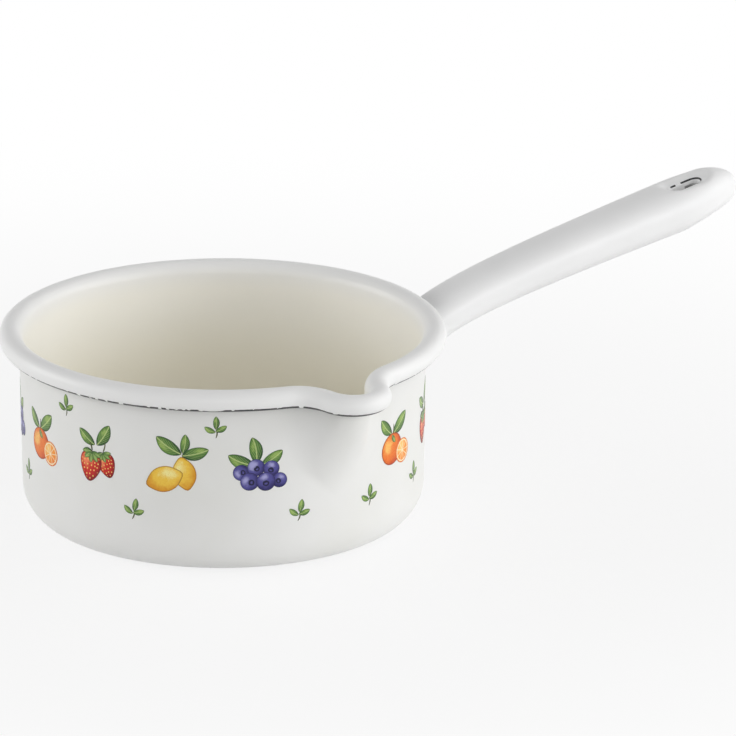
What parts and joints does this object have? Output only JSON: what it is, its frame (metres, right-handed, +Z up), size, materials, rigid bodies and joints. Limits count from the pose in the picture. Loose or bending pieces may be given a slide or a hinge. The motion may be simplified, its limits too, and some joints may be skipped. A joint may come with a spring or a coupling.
{
  "type": "milk pan",
  "caption": "Round enamelled steel milk pan with a rolled rim, a pouring spout pressed into one side and a long hollow handle with a hanging eye.",
  "frame": {"origin": "centre of the flat base, on the surface that the pan stands on", "axes": "+X from the pan's axis along the handle, -Y out through the pouring spout, +Z up"},
  "size_m": [0.3352, 0.1928, 0.1006],
  "materials": {
    "pan_steel": "pressed low-carbon sheet under enamel",
    "handle_steel": "pressed low-carbon sheet under enamel",
    "weld_steel": "dressed weld under enamel",
    "cream_enamel": "glossy fired enamel",
    "white_enamel": "glossy fired enamel",
    "rim_white_enamel": "glossy fired enamel",
    "handle_white_enamel": "glossy fired enamel",
    "ground_coat": "dark ground enamel, thin at the cut edge"
  },
  "bodies": {
    "root": {"pan_shell": "pan_steel", "interior_enamel": "cream_enamel", "exterior_enamel": "white_enamel", "rim_enamel": "rim_white_enamel", "rim_edge_coat": "ground_coat", "handle_upper_shell": "handle_steel", "handle_lower_shell": "handle_steel", "handle_seam_weld": "weld_steel", "handle_root_weld": "weld_steel", "handle_enamel": "handle_white_enamel"}
  },
  "joints": []
}
